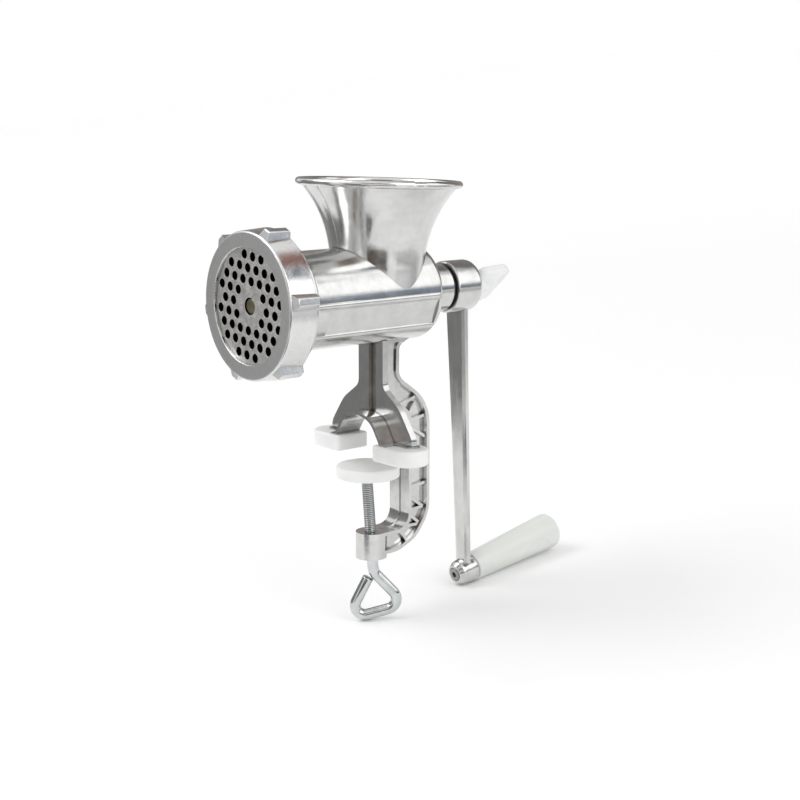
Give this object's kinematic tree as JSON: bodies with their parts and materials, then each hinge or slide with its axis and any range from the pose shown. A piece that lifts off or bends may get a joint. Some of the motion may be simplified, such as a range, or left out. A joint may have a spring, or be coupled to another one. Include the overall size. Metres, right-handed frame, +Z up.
{
  "type": "manual meat grinder",
  "caption": "Table-clamped manual mincer with flared hopper, screw-on plate ring, feed worm, hanging crank with a free-turning grip, and a screw clamp with a bent rod loop.",
  "frame": {"origin": "on the clamp's centre line, in the plane of the jaw pads' undersides, which is the table's top", "axes": "+Z up, +Y along the barrel from the plate towards the crank, X across the clamp's legs"},
  "size_m": [0.084, 0.2078, 0.2317],
  "materials": {
    "cast_aluminium": "polished casting",
    "ring_aluminium": "machined front, polished sides",
    "plate_steel": "grainy ground face",
    "knife_steel": "ground",
    "worm_aluminium": "as cast",
    "pin_brass": "dull",
    "white_plastic": "moulded",
    "pad_plastic": "milky, soft sheen",
    "grip_plastic": "translucent, faintly green",
    "black_plastic": "moulded",
    "zinc_steel": "bright zinc plate"
  },
  "bodies": {
    "casting": {"body_casting": "cast_aluminium", "plate_locating_pin": "knife_steel", "thrust_washer": "white_plastic", "neck_bush": "black_plastic", "jaw_pad_left": "pad_plastic", "jaw_pad_right": "pad_plastic"},
    "crank": {"worm": "worm_aluminium", "worm_front_pin": "pin_brass", "cross_knife": "knife_steel", "crank_arm": "cast_aluminium", "handle_spindle": "zinc_steel", "spindle_washer": "zinc_steel", "spindle_nut": "zinc_steel"},
    "grip": {"handle_grip": "grip_plastic", "grip_end_cap": "grip_plastic"},
    "wing_slider": {"wing_washer": "zinc_steel"},
    "wing_screw": {"wing_knob": "white_plastic", "wing_stud": "zinc_steel"},
    "plate": {"hole_plate": "plate_steel"},
    "ring": {"ring_nut": "ring_aluminium"},
    "pad": {"pressure_pad": "pad_plastic"},
    "screw": {"clamp_screw": "zinc_steel"}
  },
  "joints": [
    {"name": "crank_turn", "type": "hinge", "parent": "casting", "child": "crank", "pos_m": [0, 0, 0.0822], "axis": [0, 1, 0], "continuous": true},
    {"name": "grip_spin", "type": "hinge", "parent": "crank", "child": "grip", "pos_m": [0, 0.0659, -0.0757], "axis": [0, 0.9857, 0.1685], "continuous": true},
    {"name": "wing_travel", "type": "slide", "parent": "crank", "child": "wing_slider", "axis": [0, 1, 0], "range_m": [0, 0.016]},
    {"name": "wing_turn", "type": "hinge", "parent": "wing_slider", "child": "wing_screw", "pos_m": [0, 0.07, 0.0822], "axis": [0, 1, 0], "range_deg": [0, 5760]},
    {"name": "plate_travel", "type": "slide", "parent": "casting", "child": "plate", "axis": [0, -1, 0], "range_m": [0, 0.0105]},
    {"name": "ring_turn", "type": "hinge", "parent": "plate", "child": "ring", "pos_m": [0, -0.067, 0.0822], "axis": [0, -1, 0], "range_deg": [0, 1260]},
    {"name": "pad_travel", "type": "slide", "parent": "casting", "child": "pad", "axis": [0, -0.0785, 0.9969], "range_m": [-0.0262, 0.0054]},
    {"name": "clamp_turn", "type": "hinge", "parent": "pad", "child": "screw", "pos_m": [0, 0.0009, -0.04822], "axis": [0, -0.0785, 0.9969], "range_deg": [-9432, 1944]}
  ],
  "couplings": [
    {"joint": "wing_turn", "follows": "wing_travel", "rad_per_m": 6283.2},
    {"joint": "ring_turn", "follows": "plate_travel", "rad_per_m": 2094.4},
    {"joint": "clamp_turn", "follows": "pad_travel", "rad_per_m": 6283.2}
  ]
}
